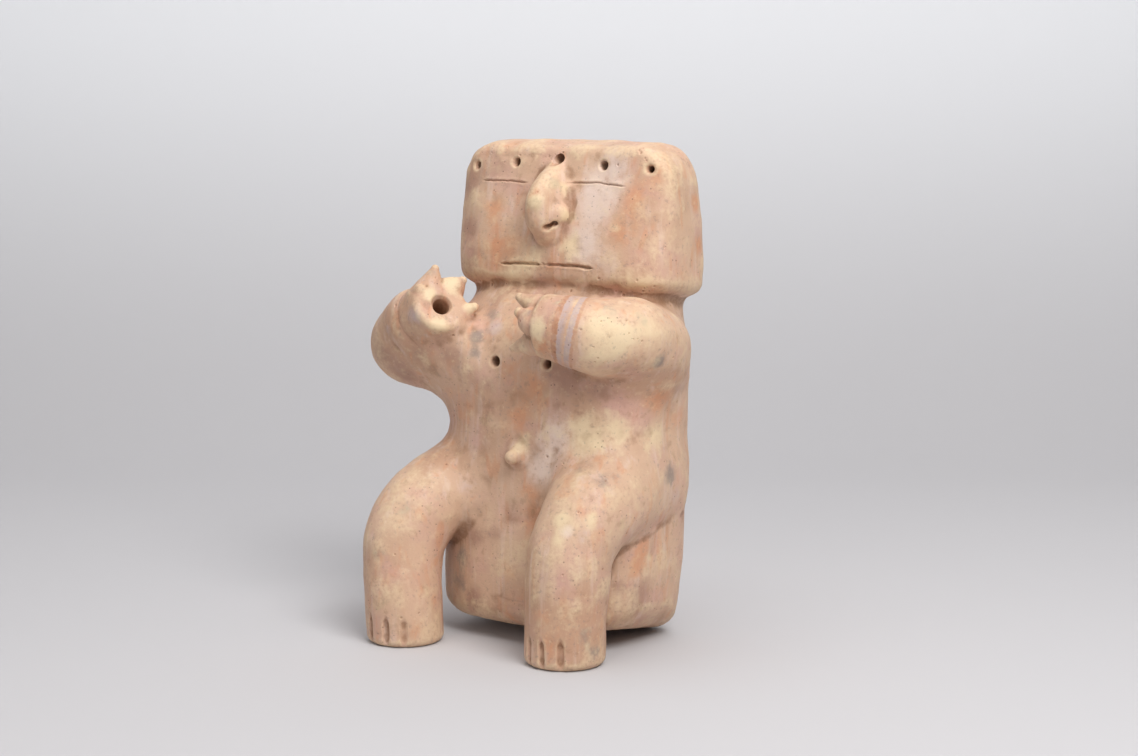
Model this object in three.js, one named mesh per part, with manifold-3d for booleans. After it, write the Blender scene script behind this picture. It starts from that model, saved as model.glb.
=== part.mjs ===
// Seated slab figure in fired clay: a wide flat-topped slab head on a boxy
// torso, a raised right arm, a left arm laid across the chest, and two bent
// legs whose feet stand in front of the body. One piece of clay, one solid.
// Units are millimetres, +Z is up, the figure faces -Y, and its own left is +X.
import * as THREE from 'three';
import { mergeVertices } from 'three/addons/utils/BufferGeometryUtils.js';
import Module from 'manifold-3d';

const wasm = await Module();
wasm.setup();

// ---------------------------------------------------------------- sizes
// Levels of the torso: height, half width, front face, back face,
// squareness of the section (2 = ellipse), sideways shift.
const TORSO_LEVELS = [
  [0, 63.0, -44.0, 43.0, 3.4, -2.0],
  [14, 66.5, -45.5, 46.0, 3.4, -2.0],
  [30, 69.0, -46.0, 47.0, 3.4, -2.0],
  [60, 71.0, -46.5, 47.5, 3.4, -1.5],
  [100, 72.0, -46.5, 49.0, 3.3, -0.3],
  [130, 72.5, -46.0, 51.0, 3.2, 0.8],
  [170, 72.5, -44.0, 51.0, 3.0, 1.6],
  [188, 71.0, -38.0, 51.0, 2.9, 1.8],
  [202, 66.5, -27.0, 50.0, 2.9, 1.8],
  [212, 62.5, -18.0, 49.0, 3.0, 1.6],
  [222, 61.5, -13.0, 48.0, 3.2, 1.5],
];
const TORSO_TOP = 222;          // hidden inside the head
const SEAT_BACK_Y = 31;         // the base touches the ground behind this line
const SEAT_SLOPE = 0.13;        // and rises forward from it
const SEAT_ROUND_FRONT = 12;    // edge rounding of the base, front and sides
const SEAT_ROUND_BACK = 5;      // and at the back, where it rests

// Levels of the slab head, same columns as the torso.
const HEAD_LEVELS = [
  [206, 77.0, -20.0, 51.0, 4.0, 0.6],
  [226, 77.5, -19.5, 51.0, 4.0, 0.9],
  [255, 77.5, -14.0, 48.0, 4.0, 1.0],
  [286, 76.0, -7.0, 43.0, 4.0, 1.0],
  [300, 74.5, -4.0, 41.0, 4.0, 1.0],
];
const HEAD_UNDER = [214, -20, 0.10];   // underside height, at this Y, falling backwards
const HEAD_TOP = 299.8;                // crown of the slightly domed top
const HEAD_DOME = [18, 26, 6.0, 75, 3.0];
const HEAD_ROUND_LOW = 8;
const HEAD_ROUND_TOP = 10;

// Limbs: centre line and radius at each station, root first.
const RIGHT_ARM = [
  [-30, 12, 178, 22], [-54, 5, 171, 30], [-80, -9, 170, 25], [-101.5, -26, 172, 22.5],
  [-91, -34, 185, 20], [-76, -40, 195, 18.5], [-57, -47, 203, 18.5],
];
const LEFT_ARM = [
  [34, 16, 189, 18], [51, 6, 187, 25], [65, -9, 185.5, 25.5], [68, -34, 184, 23.5],
  [58, -48, 187.5, 22.5], [42, -56, 192, 19.8], [22, -58, 195, 17], [12, -58, 195, 16.5],
];
const RIGHT_LEG = [
  [-30, 12, 102, 20], [-45, -6, 98, 30.5], [-56, -26, 90.5, 28.5], [-65.5, -50, 80.5, 26],
  [-70.5, -64, 64, 25], [-69.5, -70, 45, 24], [-66.5, -73, 20, 23.5], [-65, -73, 0, 23],
];
const LEFT_LEG = [
  [32, 18, 102, 20], [45, -4, 101, 31], [50, -27, 95.5, 29.8], [50, -48, 84, 26.5],
  [47, -59, 66, 25], [46, -61.5, 45, 24.5], [44.8, -62.5, 20, 24], [44.5, -62.5, 0, 23.5],
];
const SOLE_ROUND = 5;           // rounding where a foot meets its flat sole

// Each hand is an open socket ringed by four pointed fingers.
const RIGHT_HAND = {
  centre: [-57, -47, 203], axis: [0.66, -0.45, 0.60],
  tips: [[-63.5, -43.5, 225.2], [-49.8, -32.0, 218.4], [-37.6, -36.4, 201.6], [-64.5, -60.0, 215.0]],
};
const LEFT_HAND = {
  centre: [12, -58, 195], axis: [-0.99, -0.1, 0.03],
  tips: [[3.5, -52, 210.0], [2.8, -66.0, 200.5], [0.8, -62.0, 180.5], [4.0, -47.0, 186.0]],
};
const FINGER_ROOT = 8.4;        // radius of a finger where it leaves the hand
const FINGER_TIP = 2.2;
const SOCKET_RADIUS = 4.0;
const SOCKET_DEPTH = 13;
// Raised bracelets on both wrists: distance back from the hand's end, half width, height
const BANDS = [[19, 3.4, 1.1], [27.5, 3.0, 1.1]];

// Face and body features.
const VENT_RADIUS = 2.4;        // round holes pushed through the clay
const VENT_DEPTH = 11;
const BROW_VENTS = [[-61.5, 284], [-30.5, 286.5], [0.8, 288.6], [33, 286.2], [64, 284.6]];
const CHEST_VENTS = [[-19.5, 170], [20.8, 170.8]];
const EYES = [[-54.7, -20.1, 274.4], [10.7, 49.5, 275]];
const EYE_SLIT = [1.1, 1.6];    // width, depth
const MOUTH = [[-33.2, -4.5, 226.2], [-1.5, 33.5, 226.4]];
const MOUTH_SLIT = [1.8, 2.6];
const NOSE = [
  [-0.3, -5, 287, 3.0], [-0.5, -14, 278, 4.6], [-0.6, -20.5, 267, 6.0],
  [-0.6, -24.6, 256, 7.4], [-0.4, -24.0, 246, 8.0], [-0.2, -19.5, 238, 6.2],
];
const NOSE_ROOT = [
  [-0.3, -3, 286, 5.0], [-0.5, -8, 276, 7.0], [-0.6, -12, 264, 9.0],
  [-0.6, -15, 252, 10.2], [-0.2, -16, 240, 8.0],
];
const NOSE_WING = [4.2, -22, 247.5, 6.2];
const NOSTRIL = [6.6, -30.5, 246.5, 2.1, 5];
const NAVEL = [-1.8, 115.8, 5.6, 7.2];       // x, z, radius, how far it stands out
const TOE_GROOVES = [
  [RIGHT_LEG, [-116, -84, -55]],
  [LEFT_LEG, [-116, -90, -61]],
];
const TOE_GROOVE = [3.0, 2.6, 19];           // width, depth, height above the ground

// ---------------------------------------------------------------- helpers
const V3 = (a) => new THREE.Vector3(a[0], a[1], a[2]);

function toSolid(geometry) {
  geometry.deleteAttribute('normal');
  geometry.deleteAttribute('uv');
  const merged = mergeVertices(geometry, 1e-4);
  return new wasm.Manifold(new wasm.Mesh({
    numProp: 3,
    vertProperties: new Float32Array(merged.attributes.position.array),
    triVerts: new Uint32Array(merged.index.array),
  }));
}

// Value of a table column at a height, on a smooth monotone curve.
function level(table, z, col) {
  const n = table.length;
  const zc = Math.min(Math.max(z, table[0][0]), table[n - 1][0]);
  let k = 0;
  while (k < n - 2 && zc > table[k + 1][0]) k++;
  const slope = (i) => (table[i + 1][col] - table[i][col]) / (table[i + 1][0] - table[i][0]);
  const tangent = (i) => {
    if (i === 0) return slope(0);
    if (i === n - 1) return slope(n - 2);
    const a = slope(i - 1);
    const b = slope(i);
    return a * b <= 0 ? 0 : (2 * a * b) / (a + b);
  };
  const h = table[k + 1][0] - table[k][0];
  const t = (zc - table[k][0]) / h;
  return (2 * t ** 3 - 3 * t ** 2 + 1) * table[k][col] + (t ** 3 - 2 * t ** 2 + t) * h * tangent(k)
    + (-2 * t ** 3 + 3 * t ** 2) * table[k + 1][col] + (t ** 3 - t ** 2) * h * tangent(k + 1);
}

// Bends an upright closed cylinder into a form: place(angle, ring, reach)
// gives the point for each vertex, ring counting up from 0 at the bottom.
function bentCylinder(sides, rings, place) {
  const g = new THREE.CylinderGeometry(1, 1, 1, sides, rings - 1);
  g.rotateX(Math.PI / 2);
  const p = g.attributes.position;
  for (let i = 0; i < p.count; i++) {
    const x = p.getX(i);
    const y = p.getY(i);
    const ring = Math.round((p.getZ(i) + 0.5) * (rings - 1));
    const reach = Math.min(1, Math.hypot(x, y));
    const q = place(Math.round(Math.atan2(y, x) / (2 * Math.PI) * sides * 2) * Math.PI / sides, ring, reach);
    p.setXYZ(i, q.x, q.y, q.z);
  }
  return g;
}

// Outline point of a rounded-box section at a height.
function sectionPoint(table, z, angle, inset) {
  const a = level(table, z, 1) - inset;
  const front = level(table, z, 2) + inset;
  const back = level(table, z, 3) - inset;
  const e = 2 / level(table, z, 4);
  const c = Math.cos(angle);
  const s = Math.sin(angle);
  return [
    level(table, z, 5) + a * Math.sign(c) * Math.abs(c) ** e,
    (front + back) / 2 + ((back - front) / 2) * Math.sign(s) * Math.abs(s) ** e,
  ];
}

// A column of rounded-box sections between an underside and a top surface,
// with both edges rounded.
function column(table, sides, heights, under, roundLow, over, roundTop) {
  const arc = [0, 0.3, 0.62, 1];
  const rings = [];
  arc.forEach((t) => rings.push({ kind: 'low', t }));
  heights.forEach((z) => rings.push({ kind: 'mid', z }));
  [...arc].reverse().forEach((t) => rings.push({ kind: 'top', t }));
  return bentCylinder(sides, rings.length, (angle, ring, reach) => {
    const r = rings[ring];
    let z0;
    let inset = 0;
    if (r.kind === 'mid') {
      const q = sectionPoint(table, r.z, angle, 0);
      const k = Math.sin(angle);
      return new THREE.Vector3(q[0] * reach, q[1] * reach, r.z + 0 * k);
    }
    // the edge arc: t = 0 is the flat side of the edge, t = 1 the upright side
    const low = r.kind === 'low';
    const zref = low ? table[0][0] + 8 : over(0, 20);
    const guess = sectionPoint(table, zref, angle, 0);
    const radius = low ? roundLow(guess[1]) : roundTop;
    const phi = (r.t * Math.PI) / 2;
    inset = radius * (1 - Math.sin(phi));
    const rise = radius * (1 - Math.cos(phi));
    const flat = sectionPoint(table, zref, angle, inset);
    const x = flat[0] * reach;
    const y = flat[1] * reach;
    const base = low ? under(x, y) : over(x, y);
    z0 = low ? base + rise : base - rise;
    const q = sectionPoint(table, z0, angle, inset);
    return new THREE.Vector3(q[0] * reach, q[1] * reach, z0);
  });
}

// A tapering round limb along a smooth centre line. The far end is either a
// blunt rounded end or cut straight by the ground.
function limb(stations, sides, steps, end) {
  const curve = new THREE.CatmullRomCurve3(stations.map(V3), false, 'catmullrom', 0.5);
  const radii = new THREE.CatmullRomCurve3(stations.map((s) => new THREE.Vector3(s[3], 0, 0)), false, 'catmullrom', 0.5);
  const rings = [];
  for (let i = 0; i <= steps; i++) {
    const t = i / steps;
    rings.push({ c: curve.getPoint(t), d: curve.getTangent(t), r: radii.getPoint(t).x });
  }
  const last = rings[rings.length - 1];
  if (end.sole) {
    // straight on down, with the sole's edge drawn in
    const c = last.c.clone();
    last.c = new THREE.Vector3(c.x, c.y, end.sole);
    last.d = new THREE.Vector3(0, 0, -1);
    for (const t of [0.5, 1]) {
      const phi = (t * Math.PI) / 2;
      rings.push({
        c: new THREE.Vector3(c.x, c.y, end.sole * (1 - Math.sin(phi))),
        d: new THREE.Vector3(0, 0, -1),
        r: last.r - end.sole * (1 - Math.cos(phi)),
      });
    }
  } else if (end.round) {
    const r = end.round;
    for (const t of [0.5, 1]) {
      const phi = (t * Math.PI) / 2;
      rings.push({
        c: last.c.clone().addScaledVector(last.d, r * Math.sin(phi)),
        d: last.d,
        r: last.r - r * (1 - Math.cos(phi)),
      });
    }
  }
  // carry one cross direction along the limb without twist
  let u = new THREE.Vector3(0, 1, 0.3);
  rings.forEach((k) => {
    u = u.clone().addScaledVector(k.d, -u.dot(k.d)).normalize();
    k.u = u;
    k.w = new THREE.Vector3().crossVectors(k.d, u);
  });
  return bentCylinder(sides, rings.length, (angle, ring, reach) => {
    const k = rings[ring];
    return k.c.clone()
      .addScaledVector(k.u, Math.cos(angle) * k.r * reach)
      .addScaledVector(k.w, Math.sin(angle) * k.r * reach);
  });
}

// Turns a shape made along +Z so that it starts at a point and runs along a direction.
function aim(geometry, from, direction) {
  const q = new THREE.Quaternion().setFromUnitVectors(new THREE.Vector3(0, 0, 1), direction.clone().normalize());
  geometry.applyQuaternion(q);
  geometry.translate(from.x, from.y, from.z);
  return geometry;
}

// Round peg along +Z from 0 to length.
function peg(radiusStart, radiusEnd, length, sides) {
  const g = new THREE.CylinderGeometry(radiusEnd, radiusStart, length, sides, 1);
  g.rotateX(Math.PI / 2);
  g.translate(0, 0, length / 2);
  return g;
}

// A slit: a thin bar from one point to another, sunk to a depth.
function slit(a, b, width, depth) {
  const mid = a.clone().add(b).multiplyScalar(0.5);
  const g = new THREE.BoxGeometry(a.distanceTo(b), depth * 2, width);
  g.rotateZ(Math.atan2(b.y - a.y, b.x - a.x));
  g.translate(mid.x, mid.y, mid.z);
  return g;
}

const faceY = (x, z) => {
  const a = level(HEAD_LEVELS, z, 1);
  const front = level(HEAD_LEVELS, z, 2);
  const back = level(HEAD_LEVELS, z, 3);
  const n = level(HEAD_LEVELS, z, 4);
  const u = Math.abs(x - level(HEAD_LEVELS, z, 5)) / a;
  return (front + back) / 2 - ((back - front) / 2) * (1 - u ** n) ** (1 / n);
};
const chestY = (x, z) => {
  const a = level(TORSO_LEVELS, z, 1);
  const front = level(TORSO_LEVELS, z, 2);
  const back = level(TORSO_LEVELS, z, 3);
  const n = level(TORSO_LEVELS, z, 4);
  const u = Math.abs(x - level(TORSO_LEVELS, z, 5)) / a;
  return (front + back) / 2 - ((back - front) / 2) * (1 - u ** n) ** (1 / n);
};

// ---------------------------------------------------------------- body
const seat = (x, y) => (SEAT_BACK_Y - y) * SEAT_SLOPE;
const seatRound = (y) => {
  const t = Math.min(1, Math.max(0, (y - 15) / 25));
  return SEAT_ROUND_FRONT + (SEAT_ROUND_BACK - SEAT_ROUND_FRONT) * t;
};
const torso = toSolid(column(
  TORSO_LEVELS, 40, [40, 70, 100, 125, 150, 172, 184, 194, 202, 209],
  seat, seatRound, () => TORSO_TOP, 3,
));

const headUnder = (x, y) => HEAD_UNDER[0] - (y - HEAD_UNDER[1]) * HEAD_UNDER[2];
const headOver = (x, y) => {
  const [yc, ys, drop, xs, side] = HEAD_DOME;
  const v = Math.min(1.5, Math.max(-1.5, (y - yc) / ys));
  return HEAD_TOP - drop * v * v - side * (x / xs) ** 2;
};
const head = toSolid(column(
  HEAD_LEVELS, 44, [228, 240, 252, 264, 276],
  headUnder, () => HEAD_ROUND_LOW, headOver, HEAD_ROUND_TOP,
));

const limbs = [
  limb(RIGHT_ARM, 20, 14, { round: 2.5 }),
  limb(LEFT_ARM, 20, 14, { round: 2.5 }),
  limb(RIGHT_LEG, 20, 14, { sole: SOLE_ROUND }),
  limb(LEFT_LEG, 20, 14, { sole: SOLE_ROUND }),
].map(toSolid);

// ---------------------------------------------------------------- hands
const added = [];
const taken = [];
for (const [hand, arm] of [[RIGHT_HAND, RIGHT_ARM], [LEFT_HAND, LEFT_ARM]]) {
  const c = V3(hand.centre);
  const axis = V3(hand.axis).normalize();
  for (const tip of hand.tips) {
    const end = V3(tip);
    // a finger starts inside the hand, under its own tip
    const out = end.clone().sub(c);
    const root = c.clone().addScaledVector(out.clone().addScaledVector(axis, -out.dot(axis)), 0.6).addScaledVector(axis, -5);
    const along = end.clone().sub(root);
    added.push(toSolid(aim(peg(FINGER_ROOT, FINGER_TIP, along.length(), 10), root, along)));
  }
  taken.push(toSolid(aim(peg(SOCKET_RADIUS, SOCKET_RADIUS + 1.2, SOCKET_DEPTH + 12, 12), c.clone().addScaledVector(axis, -SOCKET_DEPTH + 2), axis)));
  // bracelets follow the forearm
  const curve = new THREE.CatmullRomCurve3(arm.map(V3), false, 'catmullrom', 0.5);
  const radii = new THREE.CatmullRomCurve3(arm.map((s) => new THREE.Vector3(s[3], 0, 0)), false, 'catmullrom', 0.5);
  const total = curve.getLength();
  for (const [back, half, height] of BANDS) {
    const t = curve.getUtoTmapping(1 - back / total);
    const at = curve.getPoint(t);
    const dir = curve.getTangent(t);
    const r = radii.getPoint(t).x;
    const profile = [
      new THREE.Vector2(0, -half), new THREE.Vector2(r + height * 0.35, -half), new THREE.Vector2(r + height, -half * 0.45),
      new THREE.Vector2(r + height, half * 0.45), new THREE.Vector2(r + height * 0.35, half), new THREE.Vector2(0, half),
    ];
    const ring = new THREE.LatheGeometry(profile, 20);
    ring.rotateX(Math.PI / 2);
    added.push(toSolid(aim(ring, at, dir)));
  }
}

// ---------------------------------------------------------------- face and navel
added.push(toSolid(limb(NOSE, 10, 8, { round: 2.5 })));
added.push(toSolid(limb(NOSE_ROOT, 12, 6, { round: 2.5 })));
for (const side of [-1, 1]) {
  const wing = new THREE.SphereGeometry(NOSE_WING[3], 10, 8);
  wing.translate(side * NOSE_WING[0], NOSE_WING[1], NOSE_WING[2]);
  added.push(toSolid(wing));
  taken.push(toSolid(aim(peg(NOSTRIL[3], NOSTRIL[3], NOSTRIL[4] + 5, 8),
    new THREE.Vector3(side * (NOSTRIL[0] - 3), NOSTRIL[1] + 5, NOSTRIL[2] + 1.5), new THREE.Vector3(side * 0.62, -0.72, -0.3))));
}
{
  const [x, z, r, out] = NAVEL;
  const profile = [[0, -6], [r * 1.7, -6], [r * 1.5, 0], [r * 1.02, out * 0.35], [r * 0.78, out * 0.8], [r * 0.35, out], [0, out * 1.03]]
    .map((q) => new THREE.Vector2(q[0], q[1]));
  const button = new THREE.LatheGeometry(profile, 16);
  button.rotateX(Math.PI / 2);
  added.push(toSolid(aim(button, new THREE.Vector3(x, chestY(x, z), z), new THREE.Vector3(0, -1, -0.12))));
}

for (const [x, z] of BROW_VENTS) {
  const y = faceY(x, z);
  const tilt = (faceY(x + 2, z) - faceY(x - 2, z)) / 4;
  const inward = new THREE.Vector3(-tilt, 1, -0.2).normalize();
  taken.push(toSolid(aim(peg(VENT_RADIUS + 0.4, VENT_RADIUS, VENT_DEPTH + 8, 10), new THREE.Vector3(x, y, z).addScaledVector(inward, -8), inward)));
}
for (const [x, z] of CHEST_VENTS) {
  const y = chestY(x, z);
  const inward = new THREE.Vector3(0, 1, 0);
  taken.push(toSolid(aim(peg(VENT_RADIUS + 0.4, VENT_RADIUS, VENT_DEPTH + 8, 10), new THREE.Vector3(x, y - 8, z), inward)));
}
for (const [list, [width, depth]] of [[EYES, EYE_SLIT], [MOUTH, MOUTH_SLIT]]) {
  for (const [x0, x1, z] of list) {
    taken.push(toSolid(slit(
      new THREE.Vector3(x0, faceY(x0, z), z), new THREE.Vector3(x1, faceY(x1, z), z), width, depth,
    )));
  }
}

// ---------------------------------------------------------------- toes
for (const [leg, angles] of TOE_GROOVES) {
  const [width, depth, height] = TOE_GROOVE;
  const foot = leg[leg.length - 1];
  for (const a of angles) {
    const rad = (a * Math.PI) / 180;
    const g = new THREE.CylinderGeometry(width / 2, width / 2, height + 4, 6, 1);
    g.rotateX(Math.PI / 2);
    const reach = foot[3] + 0.8 - depth / 2;
    g.scale(1, depth / width * 1.6, 1);
    g.rotateZ(rad - Math.PI / 2);
    g.translate(foot[0] + Math.cos(rad) * reach, foot[1] + Math.sin(rad) * reach, height / 2 + 1);
    taken.push(toSolid(g));
  }
}

// ---------------------------------------------------------------- one solid
let solid = torso.add(head);
for (const piece of [...limbs, ...added]) solid = solid.add(piece);
for (const piece of taken) solid = solid.subtract(piece);
// the ground the figure stands on cuts its flat soles and the flat of its seat
const ground = new THREE.BoxGeometry(400, 400, 60);
ground.translate(0, 0, -30);
solid = solid.subtract(toSolid(ground));

const mesh = solid.getMesh();
const geometry = new THREE.BufferGeometry();
geometry.setAttribute('position', new THREE.BufferAttribute(new Float32Array(mesh.vertProperties), 3));
geometry.setIndex(new THREE.BufferAttribute(new Uint32Array(mesh.triVerts), 1));

// the origin is on the ground, under the middle of the figure's box
geometry.computeBoundingBox();
const box = geometry.boundingBox;
geometry.computeVertexNormals();

const clay = new THREE.MeshStandardMaterial({ color: 0xbf9f86, roughness: 0.62, metalness: 0 });
const figure = new THREE.Mesh(geometry, clay);
figure.name = 'figure';
figure.position.set(-(box.min.x + box.max.x) / 2, -(box.min.y + box.max.y) / 2, -box.min.z);

const group = new THREE.Group();
group.add(figure);

export default group;
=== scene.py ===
import math

import bpy
import numpy as np
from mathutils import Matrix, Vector


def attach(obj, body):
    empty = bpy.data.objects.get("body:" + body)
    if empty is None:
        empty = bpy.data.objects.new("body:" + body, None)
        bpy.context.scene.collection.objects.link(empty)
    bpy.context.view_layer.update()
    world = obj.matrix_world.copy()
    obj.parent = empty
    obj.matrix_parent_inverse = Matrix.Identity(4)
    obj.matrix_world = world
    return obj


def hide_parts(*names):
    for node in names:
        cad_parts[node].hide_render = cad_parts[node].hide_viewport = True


# Seated slab figure of fired clay, modelled as one skin.
# Lengths below are millimetres: x to the figure's left, y to its back, z up, from the body's own axis.
# ---------------------------------------------------------------- sizes (millimetres)
# The figure is modelled about its own upright axis: its left is +X, its back is +Y.
# AXIS is where that axis stands in the frame.
AXIS = np.array([15.0946, 22.5927, 0.0])

# Height, half width, front, back, squareness of the section, sideways shift.
TORSO = [
    (0, 66, -45, 44, 3.5, -2.5), (14, 69, -46.5, 46.5, 3.5, -2.5), (30, 71, -47, 47.5, 3.5, -2.2),
    (60, 72.5, -47, 49, 3.4, -1.2), (100, 72.5, -46.5, 50, 3.3, 0.2), (130, 71.8, -46, 51, 3.2, 1.3),
    (150, 71.5, -45, 51.5, 3.1, 2.2), (170, 72, -44, 51, 3.0, 2.2), (188, 70, -38, 51, 2.9, 1.4), (202, 67, -27, 50, 2.9, 0.8),
    (212, 65.5, -18, 49, 3.0, 0.6), (222, 64.5, -13, 48, 3.2, 0.5),
]
HEAD = [
    (206, 77, -20, 51, 4.0, 0.6), (226, 77.5, -19.5, 51, 4.0, 0.9), (255, 78, -14, 48, 4.0, 0.7),
    (286, 77, -7, 43, 4.0, 0.4), (300, 75.5, -4, 41, 4.0, 0.3),
]
SEAT_BACK, SEAT_SLOPE, SEAT_SIDES = 31.0, 0.15, (1.0, 5.5)
# Centre line and radius of each limb, root first.
ARM_R = [(-26, 4, 178, 22), (-48.5, -5, 170.8, 30.7), (-75, -16.5, 169, 26), (-100, -26, 172, 22),
         (-90.5, -34, 184, 20.3), (-76, -41, 192, 18.8), (-57, -48.5, 199.8, 16.5)]
ELBOW_R, ELBOW_L = 3, 3        # station at which each arm folds
FILL_R = [(-88, -29, 174, 18.5), (-68, -32, 175, 19.5), (-46, -26, 174, 22)]    # flesh between forearm and upper arm
ARM_L = [(34, 16, 189, 18), (50, 8, 183, 24), (64, -6, 180.5, 25.3), (69, -31, 189, 22.8),
         (58, -48, 190.5, 22.4), (42, -56, 194, 19.5), (30, -58, 195, 18.3), (20, -58, 195, 18)]
LEG_R = [(-30, 12, 102, 20), (-45, -6, 98, 30.5), (-56, -26, 90.5, 28.5), (-65.5, -50, 80.5, 26),
         (-70.5, -64, 64, 25), (-69.5, -70, 45, 24), (-66.5, -73, 20, 23.5), (-65, -73, 0, 23)]
LEG_L = [(40, 24, 100, 23), (45, 8, 101, 29.2), (46, -6, 101.5, 30.6), (50, -27, 95.5, 29.8), (50, -48, 84, 26.5),
         (47, -59, 66, 25), (46, -61.5, 45, 24.5), (44.8, -62.5, 20, 24), (44.5, -62.5, 0, 23.5)]
SOLE_ROUND = 5.0
# Hands: an open socket in the blunt end of the arm, ringed by pyramid fingers
# (root point and radius, tip point and radius).
HAND_R = dict(centre=(-57, -48.5, 199.8), axis=(0.68, -0.50, 0.53), reach=5.0, rim=3.0, socket=4.7, fingers=[
    ((-67.0, -47.5, 205.5, 12.4), (-63.6, -44.3, 223.0, 2.6)), ((-58.8, -36.0, 208.8, 10.8), (-50.9, -33.7, 215.8, 2.6)),
    ((-53.0, -40.5, 194.5, 10.8), (-40.6, -36.2, 200.4, 2.6)), ((-66, -50, 205.0, 8.5), (-65.9, -55.5, 211.0, 3.6))])
HAND_L = dict(centre=(26, -58, 195), axis=(-0.99, -0.1, 0.03), reach=-1.0, rim=2.5, socket=4.6, fingers=[
    ((38, -57, 200, 13.0), (23, -58.5, 206, 7.6), (10.8, -60, 211.4, 2.3)),
    ((38, -63, 195.5, 12.5), (25, -67, 198.5, 8.6), (17.5, -69.0, 203.6, 3.2)),
    ((38, -59.5, 189, 13.0), (21, -61, 185.5, 7.8), (8.4, -63, 182.0, 2.5)),
    ((34, -50, 192, 10.0), (22, -49, 190, 6.0), (15, -48, 189, 2.6))])
# Bracelets, by their distance back from the hand's end: (from, to, height), edges rounded over RIM
BANDS_R = [(18.0, 27.6, -1.1), (28.0, 30.2, 1.0)]
BANDS_L = [(20.0, 21.4, -0.9), (21.6, 24.8, 0.55), (25.0, 26.6, 0.1), (26.8, 30.0, 0.55), (30.2, 31.6, -0.8)]
NOSE = [(-0.3, -5, 281.5, 2.8), (-0.6, -14, 277, 4.8), (-1.0, -22.5, 270, 6.5),
        (-1.2, -26.3, 263, 7.2), (-1.0, -24, 254.5, 7.0), (-0.6, -19, 247.5, 5.4)]
NOSE_ROOT = [(0, -4, 282, 4.5), (-0.2, -8, 276, 8.5), (-0.4, -11.5, 267, 12), (-0.4, -13, 258, 12.3), (0, -14, 249.5, 8.5)]
NAVEL = (-1.2, 115.8, 5.2, 9.5)
BROW_VENTS = [(-61.5, 284), (-30.5, 286.5), (0.8, 288.6), (33, 286.2), (64, 284.6)]
CHEST_VENTS = [(-19.5, 170), (18.4, 171.2)]
TOES = [(LEG_R, (-116, -84, -55)), (LEG_L, (-116, -90, -61))]


# ---------------------------------------------------------------- shape functions
def along(z, table, col):
    """A column of a table at height z, on a smooth curve without overshoot."""
    t = np.array(table, float)
    x, y = t[:, 0], t[:, col]
    n = len(x)
    d = np.diff(y) / np.diff(x)
    m = np.zeros(n)
    m[0], m[-1] = d[0], d[-1]
    for i in range(1, n - 1):
        m[i] = 0 if d[i - 1] * d[i] <= 0 else 2 * d[i - 1] * d[i] / (d[i - 1] + d[i])
    zc = np.clip(z, x[0], x[-1])
    k = np.clip(np.searchsorted(x, zc, side="right") - 1, 0, n - 2)
    h = x[k + 1] - x[k]
    u = (zc - x[k]) / h
    v = ((2 * u**3 - 3 * u**2 + 1) * y[k] + (u**3 - 2 * u**2 + u) * h * m[k]
         + (-2 * u**3 + 3 * u**2) * y[k + 1] + (u**3 - u**2) * h * m[k + 1])
    return v.astype(np.float32)


def join(a, b, k):
    """Union of two distances, filleted over about k."""
    h = np.clip(0.5 + 0.5 * (b - a) / k, 0, 1)
    return b + (a - b) * h - k * h * (1 - h)


def carve(a, b, k):
    """Takes b out of a, with a rim rounded over about k."""
    return -join(-a, b, k)


def round_cut(a, b, r):
    """Intersection whose edge is an arc of radius r."""
    return np.minimum(-r, np.maximum(a, b)) + np.sqrt(np.maximum(a + r, 0) ** 2 + np.maximum(b + r, 0) ** 2)


def column(X, Y, Z, table, under, over, low, top):
    a, yf, yb, n, cx = (along(Z, table, c) for c in (1, 2, 3, 4, 5))
    b, cy = (yb - yf) / 2, (yb + yf) / 2
    x, y = np.abs(X - cx) / a + 1e-4, np.abs(Y - cy) / b + 1e-4
    s = x**n + y**n
    ls = np.log(s)
    r = np.exp(ls / n)
    grad = np.exp(ls * (1 - n) / n) * np.sqrt((x ** (n - 1) / a) ** 2 + (y ** (n - 1) / b) ** 2)
    d = np.minimum((r - 1) / (grad + 1e-6), 60)
    d = round_cut(d, under(X, Y) - Z, low)
    return round_cut(d, over(X, Y, Z), top)


def spline(stations, n=10):
    """Catmull-Rom line through the stations."""
    p = np.array(stations, float)
    pp = np.vstack([2 * p[0] - p[1], p, 2 * p[-1] - p[-2]])
    q = []
    for i in range(1, len(pp) - 2):
        p0, p1, p2, p3 = pp[i - 1:i + 3]
        for t in np.linspace(0, 1, n, endpoint=False):
            q.append(0.5 * (2 * p1 + (p2 - p0) * t + (2 * p0 - 5 * p1 + 4 * p2 - p3) * t * t
                            + (3 * p1 - p0 - 3 * p2 + p3) * t**3))
    q.append(pp[-2])
    return np.array(q)


def tube(X, Y, Z, line):
    """Distance to a round limb along a line of (x, y, z, radius)."""
    best = None
    for a, b in zip(line[:-1], line[1:]):
        d = (b[:3] - a[:3]).astype(np.float32)
        L = float(d @ d)
        x, y, z = X - np.float32(a[0]), Y - np.float32(a[1]), Z - np.float32(a[2])
        t = np.clip((x * d[0] + y * d[1] + z * d[2]) / L, 0, 1)
        dd = np.sqrt((x - t * d[0]) ** 2 + (y - t * d[1]) ** 2 + (z - t * d[2]) ** 2) - (a[3] + t * (b[3] - a[3]))
        best = dd if best is None else np.minimum(best, dd)
    return best


def unit(v):
    v = np.array(v, float)
    return v / np.linalg.norm(v)


def front_of(table, x, z):
    """The front surface of a column at (x, z)."""
    a, yf, yb, n, cx = (float(along(np.array([z], float), table, c)[0]) for c in (1, 2, 3, 4, 5))
    u = min(abs(x - cx) / a, 0.999)
    return (yf + yb) / 2 - (yb - yf) / 2 * (1 - u**n) ** (1 / n)


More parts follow.
